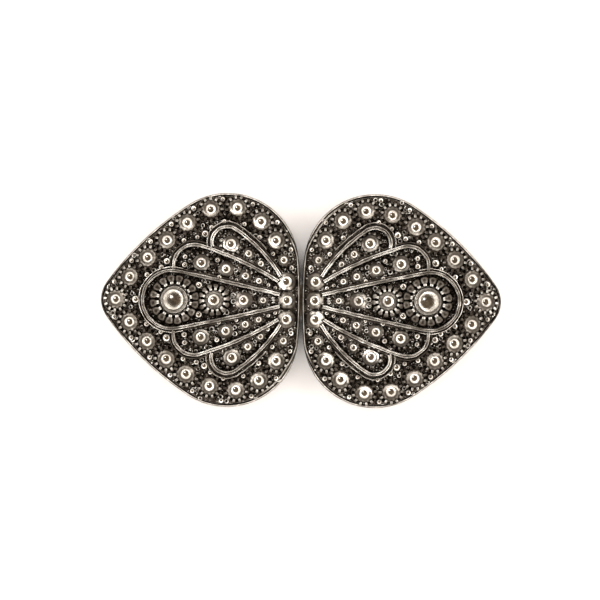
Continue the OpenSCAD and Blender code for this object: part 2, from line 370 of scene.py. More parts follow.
def soften_back_edges(plate):
    """Rounds the edges on which the plate rests."""
    sharp, edge_round = 1, 0.12
    let_go()
    bpy.context.view_layer.objects.active = plate
    bpy.ops.object.mode_set(mode="EDIT")
    mesh = bmesh.from_edit_mesh(plate.data)
    for e in mesh.edges:
        e.select_set(all(v.co.z < weld * MM for v in e.verts) and e.calc_face_angle(0) > sharp)
    bmesh.update_edit_mesh(plate.data)
    bpy.ops.mesh.bevel(offset=edge_round * MM, segments=2)
    bpy.ops.object.mode_set(mode="OBJECT")


def roughen(plate, size, amount):
    """Moves the face up and down a little, as a casting from a worn mould is uneven. The rim's inner band is
    bright beside the joint, and below the axis some way round the lobe, with its groove: below the axis the
    bright band and groove are a painted highlight, as of light from that side. Further on the band is worn
    down to the ground, and dull. Round the tip the outer band stayed black. The slot's walls are made near
    black, as painted shade in the slot."""
    part, over, polish = (plate.data.attributes[name].data for name in ("part", "over", "polish"))
    dull, groove_shine, last_over = 0.3, 0.5, RIM[-1][1]
    # Below the axis the bright band and groove reach further round: painted highlight
    bright_above, bright_below = (-2.6, -1.3), (-9, -5)
    dark_from, dark_all = -27.5, -31
    slot_from, slot_painted_shade = -0.45, 0.05
    for v, p, h, shine in zip(plate.data.vertices, part, over, polish):
        if SIDE + 0.5 < p.value < BACK:
            v.co.z += amount * MM * noise.noise(v.co / (size * MM))
            bright_from, bright_all = bright_above if v.co.y > 0 else bright_below
            near = min(1, max(0, (v.co.x / MM - bright_from) / (bright_all - bright_from)))
            if h.value > last_over:
                v.co.z -= (h.value - last_over) * (1 - near) * MM
                shine.value *= dull + (1 - dull) * near
            elif h.value < last_over:
                shine.value *= 1 - min(1, max(0, (v.co.x / MM - dark_from) / (dark_all - dark_from)))
                if v.co.y < 0:
                    shine.value = max(shine.value, groove_shine * near)
        # The slot's walls are made near black: painted shade in the slot
        elif p.value < SIDE + 0.5 and v.co.x > slot_from * MM:
            shine.value = slot_painted_shade


def antiqued_silver():
    """Silver-coloured zinc alloy, cast, blackened in a bath and polished on a wheel: bright on the high
    places, brown-black and matt in the recesses, with dark pits left in the polished metal."""
    made, tree = new_material("antiqued_silver_casting")
    place = add_node(tree, "TexCoord").outputs["Object"]
    polish = add_node(tree, "Attribute", attribute_name="polish").outputs["Fac"]
    patch_size, pit_size, scrap_size, scrap_depth, reach = 1.2, 0.25, 0.45, 0.1, 0.55
    patches = add_node(tree, "TexNoise", {"Vector": place, "Scale": 1 / (patch_size * MM), "Detail": 2.0})
    pits = add_node(tree, "TexNoise", {"Vector": place, "Scale": 1 / (pit_size * MM), "Detail": 3.0})
    scraps = add_node(tree, "TexNoise", {
        "Vector": place, "Scale": 1 / (scrap_size * MM), "Detail": 2.0, "Distortion": 1.5})
    recess = add_node(tree, "AmbientOcclusion", {"Distance": reach * MM}, samples=16, inside=False)
    # Patches and pits, weaker where the metal is polished
    worn = add_node(tree, "Math", {0: patches.outputs["Fac"], 1: 0.8, 2: -0.575}, operation="MULTIPLY_ADD")
    worn = add_node(tree, "Math", {
        0: pits.outputs["Fac"], 1: 0.35, 2: worn.outputs[0]}, operation="MULTIPLY_ADD")
    even = add_node(tree, "MapRange", {
        "Value": polish, "From Min": 0.2, "From Max": 0.45, "To Min": 1.0, "To Max": 0.5})
    worn = add_node(tree, "Math", {
        0: worn.outputs[0], 1: even.outputs[0], 2: polish}, operation="MULTIPLY_ADD")
    # Scraps of the black ground that are rubbed bare
    rubbed = add_node(tree, "MapRange", {
        "Value": scraps.outputs["Fac"], "From Min": 0.5, "From Max": 0.62, "To Min": 0.0, "To Max": 0.52})
    ground = add_node(tree, "MapRange", {
        "Value": polish, "From Min": 0.19, "From Max": 0.4, "To Min": 1.0, "To Max": 0.1})
    worn = add_node(tree, "Math", {
        0: rubbed.outputs[0], 1: ground.outputs[0], 2: worn.outputs[0]}, operation="MULTIPLY_ADD")
    # Recesses hold the black
    held = add_node(tree, "Math", {0: recess.outputs["AO"], 1: 0.5, 2: -0.5}, operation="MULTIPLY_ADD")
    bright = add_node(tree, "Math", {
        0: worn.outputs[0], 1: held.outputs[0]}, operation="ADD", use_clamp=True)
    colour = add_node(tree, "ValToRGB", {"Fac": bright.outputs[0]})
    fill_ramp(colour.color_ramp, [
        (0.0, "#0e0b08"), (0.22, "#362f29"), (0.5, "#504a43"), (0.72, "#9b958d"), (0.9, "#efebe4")])
    rough = add_node(tree, "MapRange", {
        "Value": bright.outputs[0], "From Min": 0.2, "From Max": 0.9, "To Min": 0.55, "To Max": 0.08})
    satin = add_node(tree, "Attribute", attribute_name="satin").outputs["Fac"]
    rough = add_node(tree, "Math", {0: rough.outputs[0], 1: satin}, operation="MAXIMUM")
    coarse = add_node(tree, "MapRange", {
        "Value": polish, "From Min": 0.1, "From Max": 0.8, "To Min": 1.0, "To Max": 0.06})
    relief = add_node(tree, "Bump", {
        "Height": scraps.outputs["Fac"], "Strength": coarse.outputs[0], "Distance": scrap_depth * MM})
    surface = add_node(tree, "BsdfPrincipled", {
        "Base Color": colour.outputs[0], "Metallic": 1.0, "Roughness": rough.outputs[0],
        "Normal": relief.outputs[0]})
    add_node(tree, "OutputMaterial", {"Surface": surface.outputs[0]})
    return made


casting_finish = antiqued_silver()


def hand_over(piece, name, node):
    """Names a finished piece of a casting, gives it its finish, and lets it stand for its half."""
    piece.name = name
    piece.data.materials.clear()
    piece.data.materials.append(casting_finish)
    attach(piece, "root")
    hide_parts(node)


def copied(piece, matrix):
    """A copy with its own mesh, moved by a matrix."""
    copy = piece.copy()
    copy.data = piece.data.copy()
    bpy.context.collection.objects.link(copy)
    copy.data.transform(matrix)
    return copy


HALF_TURN = Matrix.Rotation(math.pi, 4, "Z")


def both_halves(piece, name):
    """Hands over a piece of the left half and its copy, turned by half a turn, on the right half."""
    other = copied(piece, HALF_TURN)
    hand_over(piece, "left_" + name, "left_half")
    hand_over(other, "right_" + name, "right_half")


plate = domed_plate()
soften_back_edges(plate)
cut_notch(plate)
roughen(plate, size=1.3, amount=0.05)
smooth(plate)
both_halves(plate, "plate")


# Sewing lugs and rivet posts
# Both are cast with the plate and lie behind it. Each half is sewn to its band of the apron through three
# lugs with a round hole, level with the back edges. The posts carry the hook and the eye, and their ends are
# peened to round heads.
def turned(rows, sides):
    """A round shape, built up from its foot: each row is a radius, a height and the polish there."""
    let_go()
    first_r, first_h, first_polish = rows[0]
    bpy.ops.mesh.primitive_circle_add(vertices=sides, radius=first_r * MM, fill_type="NGON")
    shape = bpy.context.object
    bpy.ops.object.mode_set(mode="EDIT")
    bpy.ops.mesh.select_mode(type="FACE")
    bpy.ops.mesh.select_all(action="SELECT")
    bpy.ops.transform.translate(value=(0, 0, first_h * MM))
    mark(shape, polish=first_polish)
    for (r0, h0, _), (r1, h1, polish) in zip(rows, rows[1:]):
        bpy.ops.mesh.extrude_region_move(TRANSFORM_OT_translate={"value": (0, 0, (h1 - h0) * MM)})
        bpy.ops.transform.resize(value=(r1 / r0, r1 / r0, 1), center_override=(0, 0, 0))
        if r1 == 0:
            bpy.ops.mesh.merge(type="CENTER")
        mark(shape, polish=polish)
    return recalculated(shape)


def joined(pieces):
    """Makes one piece of several."""
    let_go()
    for piece in pieces:
        piece.select_set(True)
    bpy.context.view_layer.objects.active = pieces[0]
    bpy.ops.object.join()
    return pieces[0]


# x, y, the way in degrees that each is drawn out to the wall
LUGS = [(-27.4, 0, 180), (-11.8, 13, 90), (-11.8, -13, 270)]
lug_r, lug_t, sew_hole_r, lug_edge = 2.4, 1.2, 1.0, 0.15


def sewing_lug():
    """A ring whose far side is drawn out until it is rooted in the wall."""
    rows = [
        (sew_hole_r, lug_edge), (sew_hole_r + lug_edge, 0), (lug_r - lug_edge, 0), (lug_r, lug_edge),
        (lug_r, lug_t - lug_edge), (lug_r - lug_edge, lug_t), (sew_hole_r + lug_edge, lug_t),
        (sew_hole_r, lug_t - lug_edge), (sew_hole_r, lug_edge)]
    let_go()
    bpy.ops.mesh.primitive_circle_add(vertices=48, radius=rows[0][0] * MM)
    lug = bpy.context.object
    bpy.ops.object.mode_set(mode="EDIT")
    bpy.ops.mesh.select_mode(type="EDGE")
    bpy.ops.mesh.select_all(action="SELECT")
    bpy.ops.transform.translate(value=(0, 0, rows[0][1] * MM))
    for (r0, h0), (r1, h1) in zip(rows, rows[1:]):
        bpy.ops.mesh.extrude_region_move(TRANSFORM_OT_translate={"value": (0, 0, (h1 - h0) * MM)})
        bpy.ops.transform.resize(value=(r1 / r0, r1 / r0, 1), center_override=(0, 0, 0))
    bpy.ops.mesh.select_all(action="SELECT")
    bpy.ops.mesh.remove_doubles(threshold=weld / 2 * MM)
    mark(lug, polish=back_polish)
    bpy.ops.object.mode_set(mode="OBJECT")
    drawn_out = 0.9
    for v in lug.data.vertices:
        if v.co.x > 0 and v.co.xy.length > (sew_hole_r + 2 * lug_edge) * MM:
            v.co.x += drawn_out * MM
    return recalculated(lug)


lug = sewing_lug()
lugs = []
for x, y, turn in LUGS:
    place = Matrix.Translation((x * MM, y * MM, 0)) @ Matrix.Rotation(math.radians(turn), 4, "Z")
    lugs.append(copied(lug, place))
lugs = joined(lugs)
bpy.data.objects.remove(lug)
smooth(lugs)
both_halves(lugs, "sewing_lugs")

# Places of the rivets, the eye's as if it were on the left half too
HOOK_RIVETS = [(-7, 0), (-11, 0)]
EYE_RIVETS = [(-10.6, -2.4), (-10.6, 2.4)]
post_r, seat_edge, shank_r, head_r, head_t, rivet_space = 1.5, 0.1, 0.7, 1.2, 0.45, 0.05
hook_t, hook_top, eye_t, eye_top = 0.6, 2.35, 0.8, 1.65


def rivet_posts(places, seat, grip):
    """Posts of the left half, from the plate down to the piece that they hold, with their peened heads."""
    made = []
    for x, y in places:
        top, under = floor_z(x, y) - plate_t / 2, seat - grip - 2 * rivet_space
        post = turned([
            (0.5 * head_r, under - head_t, 0.5), (0.85 * head_r, under - 0.8 * head_t, 0.5),
            (head_r, under - 0.4 * head_t, 0.4), (head_r, under, 0.3), (shank_r, under, 0.2),
            (shank_r, seat, 0.2), (post_r - seat_edge, seat, 0.3), (post_r, seat + seat_edge, 0.35),
            (post_r, top, 0.3)], 32)
        post.data.transform(Matrix.Translation((x * MM, y * MM, 0)))
        made.append(post)
    posts = joined(made)
    smooth(posts, 35)
    return posts


hook_posts = rivet_posts(HOOK_RIVETS, hook_top + rivet_space, hook_t)
hand_over(hook_posts, "left_rivet_posts", "left_half")
eye_posts = rivet_posts(EYE_RIVETS, eye_top + rivet_space, eye_t)
eye_posts.data.transform(HALF_TURN)
hand_over(eye_posts, "right_rivet_posts", "right_half")


# Border rosettes
# Seventeen on each half, cast in relief: a polished cap on a satin cone with a raised ring, twelve small
# rounded petals round its foot, and a thin wire round them. They stand square to the dome.
border_pitch, border_last = 4.2, 8
border_inset_tip, border_inset_joint = 2.25, 2.75
cap_tilt, cap_polish = 42, 0.68
petal_satin = 0.4


def with_cap(rows, steps=6, tilt=cap_tilt, brightest=1.0):
    """Rows with a cap on top, which starts at this tilt, and is flatter and brighter towards the middle."""
    r, h, _ = rows[-1]
    curve = r / math.sin(math.radians(tilt))
    rise = curve * math.cos(math.radians(tilt))
    made = list(rows)
    for k in range(1, steps + 1):
        a = math.radians(tilt * (1 - k / steps))
        shine = cap_polish + (brightest - cap_polish) * (k / steps) ** 1.5
        made.append((curve * math.sin(a) if k < steps else 0, h + curve * math.cos(a) - rise, shine))
    return made


def petal_ring(rows, count, level, flat=0.9):
    """Satin petals that lie round a knob, each turned along its length from its inner end."""
    petal = turned(rows, 10)
    petal.data.transform(Matrix.Translation((0, 0, level * MM)) @ Matrix.Scale(flat, 4, (0, 0, 1))
                         @ Matrix.Rotation(math.radians(90), 4, "Y"))
    let_go()
    bpy.context.view_layer.objects.active = petal
    bpy.ops.object.mode_set(mode="EDIT")
    bpy.ops.mesh.select_all(action="SELECT")
    mark(petal, satin=petal_satin)
    way_round = 2 * math.pi * (count - 1) / count
    bpy.ops.mesh.spin(steps=count - 1, angle=way_round, dupli=True, center=(0, 0, 0), axis=(0, 0, 1))
    bpy.ops.object.mode_set(mode="OBJECT")
    return petal


def ring_wire(radius, thickness, level, polish):
    """A thin wire laid round a rosette. It dips into the ground here and there."""
    dip = 0.12
    let_go()
    bpy.ops.mesh.primitive_torus_add(
        major_segments=56, minor_segments=6, major_radius=radius * MM, minor_radius=thickness / 2 * MM)
    ring = bpy.context.object
    bpy.ops.object.mode_set(mode="EDIT")
    bpy.ops.mesh.select_all(action="SELECT")
    bpy.ops.transform.translate(value=(0, 0, level * MM))
    mark(ring, polish=polish)
    bpy.ops.object.mode_set(mode="OBJECT")
    for v in ring.data.vertices:
        v.co.z += dip * MM * noise.noise(Vector((v.co.x / MM, v.co.y / MM, radius)))
    return ring


# Knobs: radius, height over the ground, polish. Petals: half their width, distance out, polish.
border_knob = turned(with_cap([
    (1.70, -0.30, 0.1), (1.60, -0.08, 0.62), (1.46, 0.04, 0.67), (1.34, 0.14, 0.57), (1.26, 0.20, 0.58),
    (1.20, 0.235, 0.56), (1.12, 0.30, 0.48), (1.03, 0.38, 0.46), (0.97, 0.44, 0.46), (0.89, 0.53, 0.46),
    (0.84, 0.59, 0.5), (0.79, 0.66, 0.6)]), 32)
border_petals = petal_ring([
    (0.08, 1.48, 0.55), (0.15, 1.51, 0.66), (0.18, 1.59, 0.77), (0.19, 1.69, 0.77), (0.19, 1.80, 0.72),
    (0.20, 1.92, 0.65), (0.17, 2.06, 0.5), (0, 2.16, 0.3)],
    count=12, level=0.16)
border_wire = ring_wire(radius=2.08, thickness=0.14, level=-0.03, polish=0.5)
border_rosette = joined([border_knob, border_petals, border_wire])


def stood(shape, x, y, turn=0.0, size=1.0):
    """A copy of a shape that stands square on the dome. The camera sees the middle of its top at x and y, as
    measured at the level of the rim."""
    up = Vector((x + dome_x, y, math.sqrt(dome_r ** 2 - (x + dome_x) ** 2 - y ** 2))).normalized()
    top = max(v.co.z for v in shape.data.vertices) / MM * size
    nearer = (camera_height / MM - floor_z(x, y) - top) / (camera_height / MM - rim_level)
    foot = (x * nearer - up.x * top, y * nearer - up.y * top)
    square = Vector((0, 0, 1)).rotation_difference(up).to_matrix().to_4x4()
    place = Matrix.Translation((foot[0] * MM, foot[1] * MM, floor_z(*foot) * MM)) @ square
    return copied(shape, place @ Matrix.Rotation(math.radians(turn), 4, "Z") @ Matrix.Scale(size, 4))


def at_border(k, inset):
    """The point k steps of the border's pitch round from the tip, set in from the outline."""
    left = k * border_pitch
    middle = (border_inset_tip + border_inset_joint) / 2
    for centre, radius, start, end, _ in reversed(OUTLINE):
        length = math.radians(end - start) * (radius - middle)
        if left <= length or centre == edge_c:
            return polar(centre, radius - inset, end - math.degrees(left / (radius - middle)))
        left -= length


def uneven(amount):
    """A random difference between like shapes of a casting."""
    return random.uniform(-amount, amount)


def painted_inward_sheen(piece):
    """Brightens the slopes that face the middle of the dome and dulls the others: painted sheen and painted
    shade for how these slopes mirror the light."""
    sheen_amount = 0.12
    for v, shine in zip(piece.data.vertices, piece.data.attributes["polish"].data):
        away = Vector((v.co.x / MM + dome_x, v.co.y / MM, 0)).normalized()
        # Painted sheen on slopes that face the dome's middle, painted shade on the others
        shine.value -= sheen_amount * v.normal.dot(away)


def wear_inside(rosette, x, y):
    """Dulls the petals of a border rosette on the side of the dome's middle, where the mould is worn."""
    petals_from, dulled, all_round = 1.45, 0.45, 0.3
    away = Vector((x + dome_x, y, 0)).normalized()
    for v, shine in zip(rosette.data.vertices, rosette.data.attributes["polish"].data):
        off = Vector((v.co.x / MM - x, v.co.y / MM - y, 0))
        if off.length > petals_from:
            shine.value *= 1 - dulled * max(0, all_round - off.normalized().dot(away))


def rub_side(piece, x, y, towards, bare_from, bare_to, bare, spread):
    """Brightens the side of a knob at x and y that is rubbed bare, between two distances out. The greater
    the spread, the more of the knob."""
    for v, shine in zip(piece.data.vertices, piece.data.attributes["polish"].data):
        off = Vector((v.co.x / MM - x, v.co.y / MM - y))
        if bare_from < off.length < bare_to:
            shine.value += bare * min(1, max(0, 2 * off.normalized().dot(Vector(towards)) + spread))


# Like shapes are turned by up to so many degrees, and differ by so much in size
turn_about, size_about = 15, 0.03
# Those that the mould has out of line, by steps from the tip and side: how far along x and y
OUT_OF_LINE = {
    (4, 1): (-0.1, 0.3), (5, 1): (0, 0.5), (6, 1): (0.22, 0.5), (7, 1): (0.3, -0.05), (8, 1): (0.12, 0),
    (4, -1): (-0.15, 0.15), (5, -1): (0, 0.25), (6, -1): (0.16, -0.12), (7, -1): (0.11, -0.15),
    (8, -1): (0.3, -0.11)}
# How much brighter each is on its inner side, by steps from the tip, above the axis and below it
SMEARS = {1: (0, 0, 0, 0.05, 0.1, 0.16, 0.2, 0.22, 0.22), -1: (0, 0, 0, 0, 0.02, 0.04, 0.06, 0.1, 0.12)}
smear_from, smear_to, smear_spread = 0.7, 1.25, -0.3
tip_smear_from, tip_smear, wide_spread = 1.1, 0.12, 0.7
# A distance past the foot of any rosette
all_the_way = 9
# Where no cast specks lie, x, y and radius: rosettes in the cells, and below those of the border as well
CLEAR = [(-20.5, 0, 4.0), (-13.95, 0, 2.5), (-16, 6, 1.8), (-16, -6, 1.8)]
border_clear = 2.1
border = []
for k in range(border_last + 1):
    x, y = at_border(k, border_inset_tip + (border_inset_joint - border_inset_tip) * k / border_last)
    for side in (1, -1) if k else (1,):
        off_x, off_y = OUT_OF_LINE.get((k, side), (0, 0))
        here = (x + off_x, y * side + off_y)
        rosette = stood(border_rosette, *here, uneven(turn_about), 1 + uneven(size_about))
        if k:
            wear_inside(rosette, *here)
            inwards = Vector((-here[0] - dome_x, -here[1])).normalized()
            rub_side(rosette, *here, inwards, smear_from, smear_to, SMEARS[side][k], smear_spread)
        else:
            rub_side(rosette, *here, (-1, 0), tip_smear_from, all_the_way, tip_smear, wide_spread)
        border.append(rosette)
        CLEAR.append((*here, border_clear))
bpy.data.objects.remove(border_rosette)
border = joined(border)
smooth(border, 60)
# Painted sheen on the slopes that face the dome's middle, painted shade on the others
painted_inward_sheen(border)
both_halves(border, "border_rosettes")


# Rosettes and knobs in the cells
# The middle cell holds a large rosette with sixteen fat petals and a middle one with fourteen. Plain knobs,
# small rosettes and tiny ones with a beaded foot get smaller towards the joint, where three knobs cover the
# wires' ends. All are cast with the plate, and polished on top.
large_knob = turned(with_cap([
    (2.66, -0.30, 0.1), (2.58, 0.00, 0.6), (2.46, 0.10, 0.7), (2.36, 0.18, 0.7), (2.28, 0.26, 0.7),
    (2.22, 0.42, 0.68), (2.17, 0.60, 0.7), (2.12, 0.66, 0.68), (2.07, 0.66, 0.64), (2.02, 0.72, 0.62),
    (1.97, 0.84, 0.62), (1.93, 0.93, 0.66), (1.88, 0.97, 0.66), (1.83, 0.97, 0.6), (1.78, 1.02, 0.56),
    (1.75, 1.20, 0.56), (1.73, 1.60, 0.56), (1.70, 1.80, 0.6), (1.66, 1.90, 0.64), (1.62, 1.95, 0.66)],
    # The large cap's middle is kept duller (brightest 0.82): a painted darker reflection there
    steps=8, tilt=34, brightest=0.82), 48)
large_petals = petal_ring([
    (0.08, 2.47, 0.8), (0.20, 2.51, 0.95), (0.28, 2.61, 1.0), (0.29, 2.74, 1.0), (0.24, 2.87, 0.8),
    (0.37, 2.97, 0.56), (0.52, 3.10, 0.53), (0.63, 3.32, 0.5), (0.69, 3.55, 0.48), (0.65, 3.76, 0.48),
    (0.45, 3.94, 0.48), (0, 4.04, 0.42)],
    count=16, level=0.25, flat=0.62)
large_rosette = joined([large_knob, large_petals])

middle_knob = turned(with_cap([
    (1.66, -0.30, 0.1), (1.58, 0.02, 0.7), (1.46, 0.12, 0.76), (1.34, 0.22, 0.72), (1.24, 0.32, 0.68),
    (1.17, 0.41, 0.68), (1.11, 0.45, 0.64), (1.06, 0.50, 0.62), (1.02, 0.58, 0.62), (0.99, 0.80, 0.6),
    (0.97, 1.08, 0.62), (0.94, 1.18, 0.68)],
    steps=7), 36)
middle_petals = petal_ring([
    (0.05, 1.52, 0.8), (0.15, 1.55, 0.95), (0.21, 1.65, 1.0), (0.21, 1.77, 1.0), (0.17, 1.88, 0.8),
    (0.25, 1.98, 0.6), (0.39, 2.16, 0.56), (0.40, 2.36, 0.54), (0.27, 2.53, 0.5), (0, 2.6, 0.3)],
    count=14, level=0.2, flat=0.75)
middle_rosette = joined([middle_knob, middle_petals])

plain_knob = turned(with_cap([
    (1.70, -0.30, 0.1), (1.60, -0.08, 0.46), (1.44, 0.05, 0.48), (1.26, 0.20, 0.46), (1.10, 0.34, 0.45),
    (0.98, 0.45, 0.46), (0.90, 0.53, 0.47), (0.86, 0.58, 0.52), (0.81, 0.65, 0.64)]), 28)
# Those beside the joint have flatter, brighter cones
joint_knob = turned(with_cap([
    (1.52, -0.30, 0.1), (1.46, -0.02, 0.38), (1.32, 0.10, 0.46), (1.16, 0.23, 0.52), (1.02, 0.34, 0.53),
    (0.92, 0.42, 0.53), (0.86, 0.48, 0.54), (0.82, 0.53, 0.58), (0.79, 0.58, 0.66)]), 28)
small_petals = petal_ring([
    (0.06, 1.38, 0.5), (0.13, 1.41, 0.6), (0.18, 1.48, 0.66), (0.18, 1.57, 0.62), (0.16, 1.65, 0.5),
    (0.20, 1.76, 0.46), (0.13, 1.88, 0.3), (0, 1.92, 0.1)],
    count=12, level=0.1)
small_knob = turned(with_cap([
    (1.50, -0.30, 0.1), (1.42, 0.00, 0.68), (1.28, 0.12, 0.66), (1.14, 0.24, 0.55), (1.02, 0.34, 0.5),
    (0.93, 0.42, 0.48), (0.88, 0.47, 0.48), (0.85, 0.54, 0.52), (0.80, 0.64, 0.62)]), 28)
small_rosette = joined([small_knob, small_petals])
tiny_beads = petal_ring([
    (0.05, 0.72, 0.5), (0.11, 0.75, 0.62), (0.13, 0.83, 0.62), (0.11, 0.93, 0.5), (0, 1.02, 0.3)],
    count=10, level=0.08)
tiny_knob = turned(with_cap([
    (0.98, -0.25, 0.1), (0.92, -0.02, 0.42), (0.79, 0.08, 0.5), (0.67, 0.17, 0.53), (0.57, 0.27, 0.56),
    (0.51, 0.37, 0.62)],
    steps=5), 22)
tiny_rosette = joined([tiny_knob, tiny_beads])

# Shape, x, y, size. Those off the axis are mirrored.
KNOBS = [
    (large_rosette, -20.5, 0, 1), (middle_rosette, -13.95, 0, 1), (plain_knob, -9.15, 0, 0.95),
    (tiny_rosette, -6, 0, 0.95), (joint_knob, -2.1, 0, 1), (small_rosette, -16, 6, 1),
    (plain_knob, -12, 5, 0.86), (tiny_rosette, -8.85, 3.9, 1.08), (tiny_rosette, -6.7, 3.1, 0.9),
    (small_rosette, -11.25, 9.05, 1.05), (tiny_rosette, -8.4, 7.5, 1.08), (tiny_rosette, -6.4, 5.85, 0.9),
    (tiny_rosette, -2.7, 6.5, 1.1), (joint_knob, -2.2, 3.05, 1.05)]
# Knobs that are rubbed bare on one side: the way that it faces, how much brighter it is
RUBBED = {
    (-2.2, 3.05): ((-0.8, -0.6), 0.2), (-11.25, 9.05): ((-0.45, -0.9), 0.22),
    (-11.25, -9.05): ((-0.8, 0.6), 0.03), (-9.15, 0): ((-0.85, -0.5), 0.11)}
rubbed_from = 0.8
# Knobs that the mould has out of line: how far along x and y
MOVED_KNOBS = {(-11.25, -9.05): (0.28, -0.25)}
inner = []
for shape, x, y, size in KNOBS:
    for side in (1, -1) if y else (1,):
        off_x, off_y = MOVED_KNOBS.get((x, y * side), (0, 0))
        here = (x + off_x, y * side + off_y)
        knob = stood(shape, *here, uneven(turn_about), size * (1 + uneven(size_about)))
        if (x, y * side) in RUBBED:
            towards, bare = RUBBED[x, y * side]
            rub_side(knob, *here, towards, rubbed_from, all_the_way, bare, wide_spread)
        inner.append(knob)
for shape in (large_rosette, middle_rosette, plain_knob, joint_knob, small_rosette, tiny_rosette):
    bpy.data.objects.remove(shape)
inner = joined(inner)
smooth(inner, 60)
# Painted sheen on the slopes that face the dome's middle, painted shade on the others
painted_inward_sheen(inner)
both_halves(inner, "cell_rosettes")


# Cell wires
# Five petal-shaped cells fan out from the joint. Each wall is a pair of fine twisted wires side by side on a
# low bank, with a third, lower wire outside it round the cell's end. All are cast with the plate, and they
# run under one another where cells meet.

# Root x and y, round end x and y, its radius, radius of the bowed side, angle at which the wire ends
CELLS = [
    (-3.4, 0.95, -20.55, 0, 4.6, 400, 180), (-2.9, 2.55, -17, 5.5, 3.25, 50, 190),
    (-2.8, 3.05, -11.75, 9.2, 2.45, 24.5, 198)]
# The pair of wires and the two steps of the bank: distance outwards from the middle of the wall, thickness,
# height of the middle over the floor, polish below and on top
STRANDS = [
    (-0.14, 0.24, 0.43, 0.2, 0.84), (0.15, 0.24, 0.42, 0.2, 0.82), (0.0, 0.60, 0.08, 0.1, 0.35),
    (0.42, 0.44, -0.02, 0.1, 0.4)]
# The third wire: thickness, height over the floor, polish below
END_STRAND = (0.22, 0.22, 0.2)
# For each cell the shares of the bowed side that the wall and the third wire run along, and the third wire's
# distance outwards and polish on top
RUNS = [(1.0, 0.05, 0.57, 1.0), (0.94, 0.1, 0.57, 0.5), (0.92, 0.5, 0.8, 0.8)]
strand_steps = 60
strand_sides = 2
wander_by, wander_apart = 0.08, 10
twist_length, twist_depth = 0.4, 0.08
worn_length, wear = 1.4, 0.3
root_length, root_shine = 4.0, 0.25
# How fast the polish rises with the slope of the normal, and where it starts
top_rise, top_start = 1.6, 0.35


def bow_centre(root, end, end_r, bow_r):
    """Centre of the bowed side, which starts at the root and runs smoothly into the round end."""
    away = (end[0] - root[0], end[1] - root[1])
    far = math.hypot(*away)
    along = (bow_r ** 2 - (bow_r - end_r) ** 2 + far ** 2) / (2 * far)
    across = math.sqrt(bow_r ** 2 - along ** 2)
    return (root[0] + (along * away[0] - across * away[1]) / far,
            root[1] + (along * away[1] + across * away[0]) / far)


def strand(cell, out, thickness, over, low, high, side, run):
    """One wire of a cell's wall, laid over the dome along a share of the bowed side and the round end."""
    root, end, end_r, bow_r, stop = cell[0:2], cell[2:4], cell[4], cell[5], cell[6]
    bow = bow_centre(root, end, end_r, bow_r)
    touch = angle_to(bow, end)
    way_in = run * (touch - angle_to(bow, root))
    start_path(*polar(bow, bow_r + out, touch - way_in))
    wire = bpy.context.object
    spin_on(bow, way_in, strand_steps)
    way_round = stop - touch % 360
    spin_on(end, way_round if way_round > 0 else way_round + 360, strand_steps)
    bpy.ops.object.mode_set(mode="OBJECT")
    for v in wire.data.vertices:
        v.co.y *= side
        x, y = v.co.x / MM, v.co.y / MM
        wander = noise.noise_vector(Vector((x, y, out * wander_apart))) * wander_by
        v.co = Vector((x + wander.x, y + wander.y, floor_z(x, y) + over + wander.z)) * MM
    let_go()
    bpy.context.view_layer.objects.active = wire
    wire.select_set(True)
    bpy.ops.object.convert(target="CURVE")
    wire = bpy.context.object
    wire.data.bevel_depth = thickness / 2 * MM
    wire.data.bevel_resolution = strand_sides
    wire.data.use_fill_caps = True
    for point in wire.data.splines[0].points:
        point.radius = 1 + twist_depth * noise.noise(point.co.xyz / (twist_length * MM))
    bpy.ops.object.convert(target="MESH")
    wire = bpy.context.object
    layer = wire.data.attributes.new("polish", "FLOAT", "POINT")
    for v, value in zip(wire.data.vertices, layer.data):
        near_root = max(0, 1 - (v.co.xy / MM - Vector((root[0], root[1] * side))).length / root_length)
        worn = 1 + wear * noise.noise(v.co / (worn_length * MM)) + root_shine * near_root
        on_top = min(1, max(0, top_rise * v.normal.z - top_start))
        value.value = low + (high * worn - low) * on_top
    return wire


wires = []
for cell, (wall_run, end_run, end_out, end_shine) in zip(CELLS, RUNS):
    for side in (1, -1):
        wires += [strand(cell, *row, side, wall_run) for row in STRANDS]
        wires.append(strand(cell, end_out, *END_STRAND, end_shine, side, end_run))
wires = joined(wires)
smooth(wires, 60)
both_halves(wires, "cell_wires")


# Granules and cast specks
# Small ringed domes fill the gaps between the rosettes, one between each two along the rim. The ground
# between them all is full of specks and curls that the worn mould left. All are cast with the plate.
rim_granule_inset = 0.95
granule_r = 0.38
granule = turned(with_cap([
    (0.44, -0.15, 0.1), (0.43, 0.04, 0.45), (0.40, 0.17, 0.62), (0.35, 0.26, 0.66)],
    steps=4, tilt=38), 16)
# Steps round the border, inset
INNER_GRANULES = [(1.5, 4.25), (3.5, 4.25), (5.5, 4.5), (6.5, 4.4), (7.5, 4.65), (8.5, 3.9)]
# x, y, radius
GRANULES = [
    (-21.5, 6.15, 0.55), (-15.4, 10.6, 0.55), (-16.35, 2.35, 0.55), (-22.4, 5.2, 0.38), (-16.65, 10, 0.38),
    (-14.4, 11.6, 0.38), (-18.65, 5.6, 0.42), (-18.6, 6.9, 0.38), (-13.4, 6.4, 0.38), (-13.1, 3.6, 0.38),
    (-10.3, 3.2, 0.3), (-1.5, 5.25, 0.38), (-5.2, 2.45, 0.32), (-5.25, 4.65, 0.32),
    (-4.1, 2.0, 0.3), (-3.45, 0.5, 0.2), (-3.45, 1.85, 0.18)]
spots = [(*at_border(k + 0.5, rim_granule_inset), granule_r) for k in range(border_last + 1)]
spots += [(*at_border(k, inset), granule_r) for k, inset in INNER_GRANULES] + GRANULES
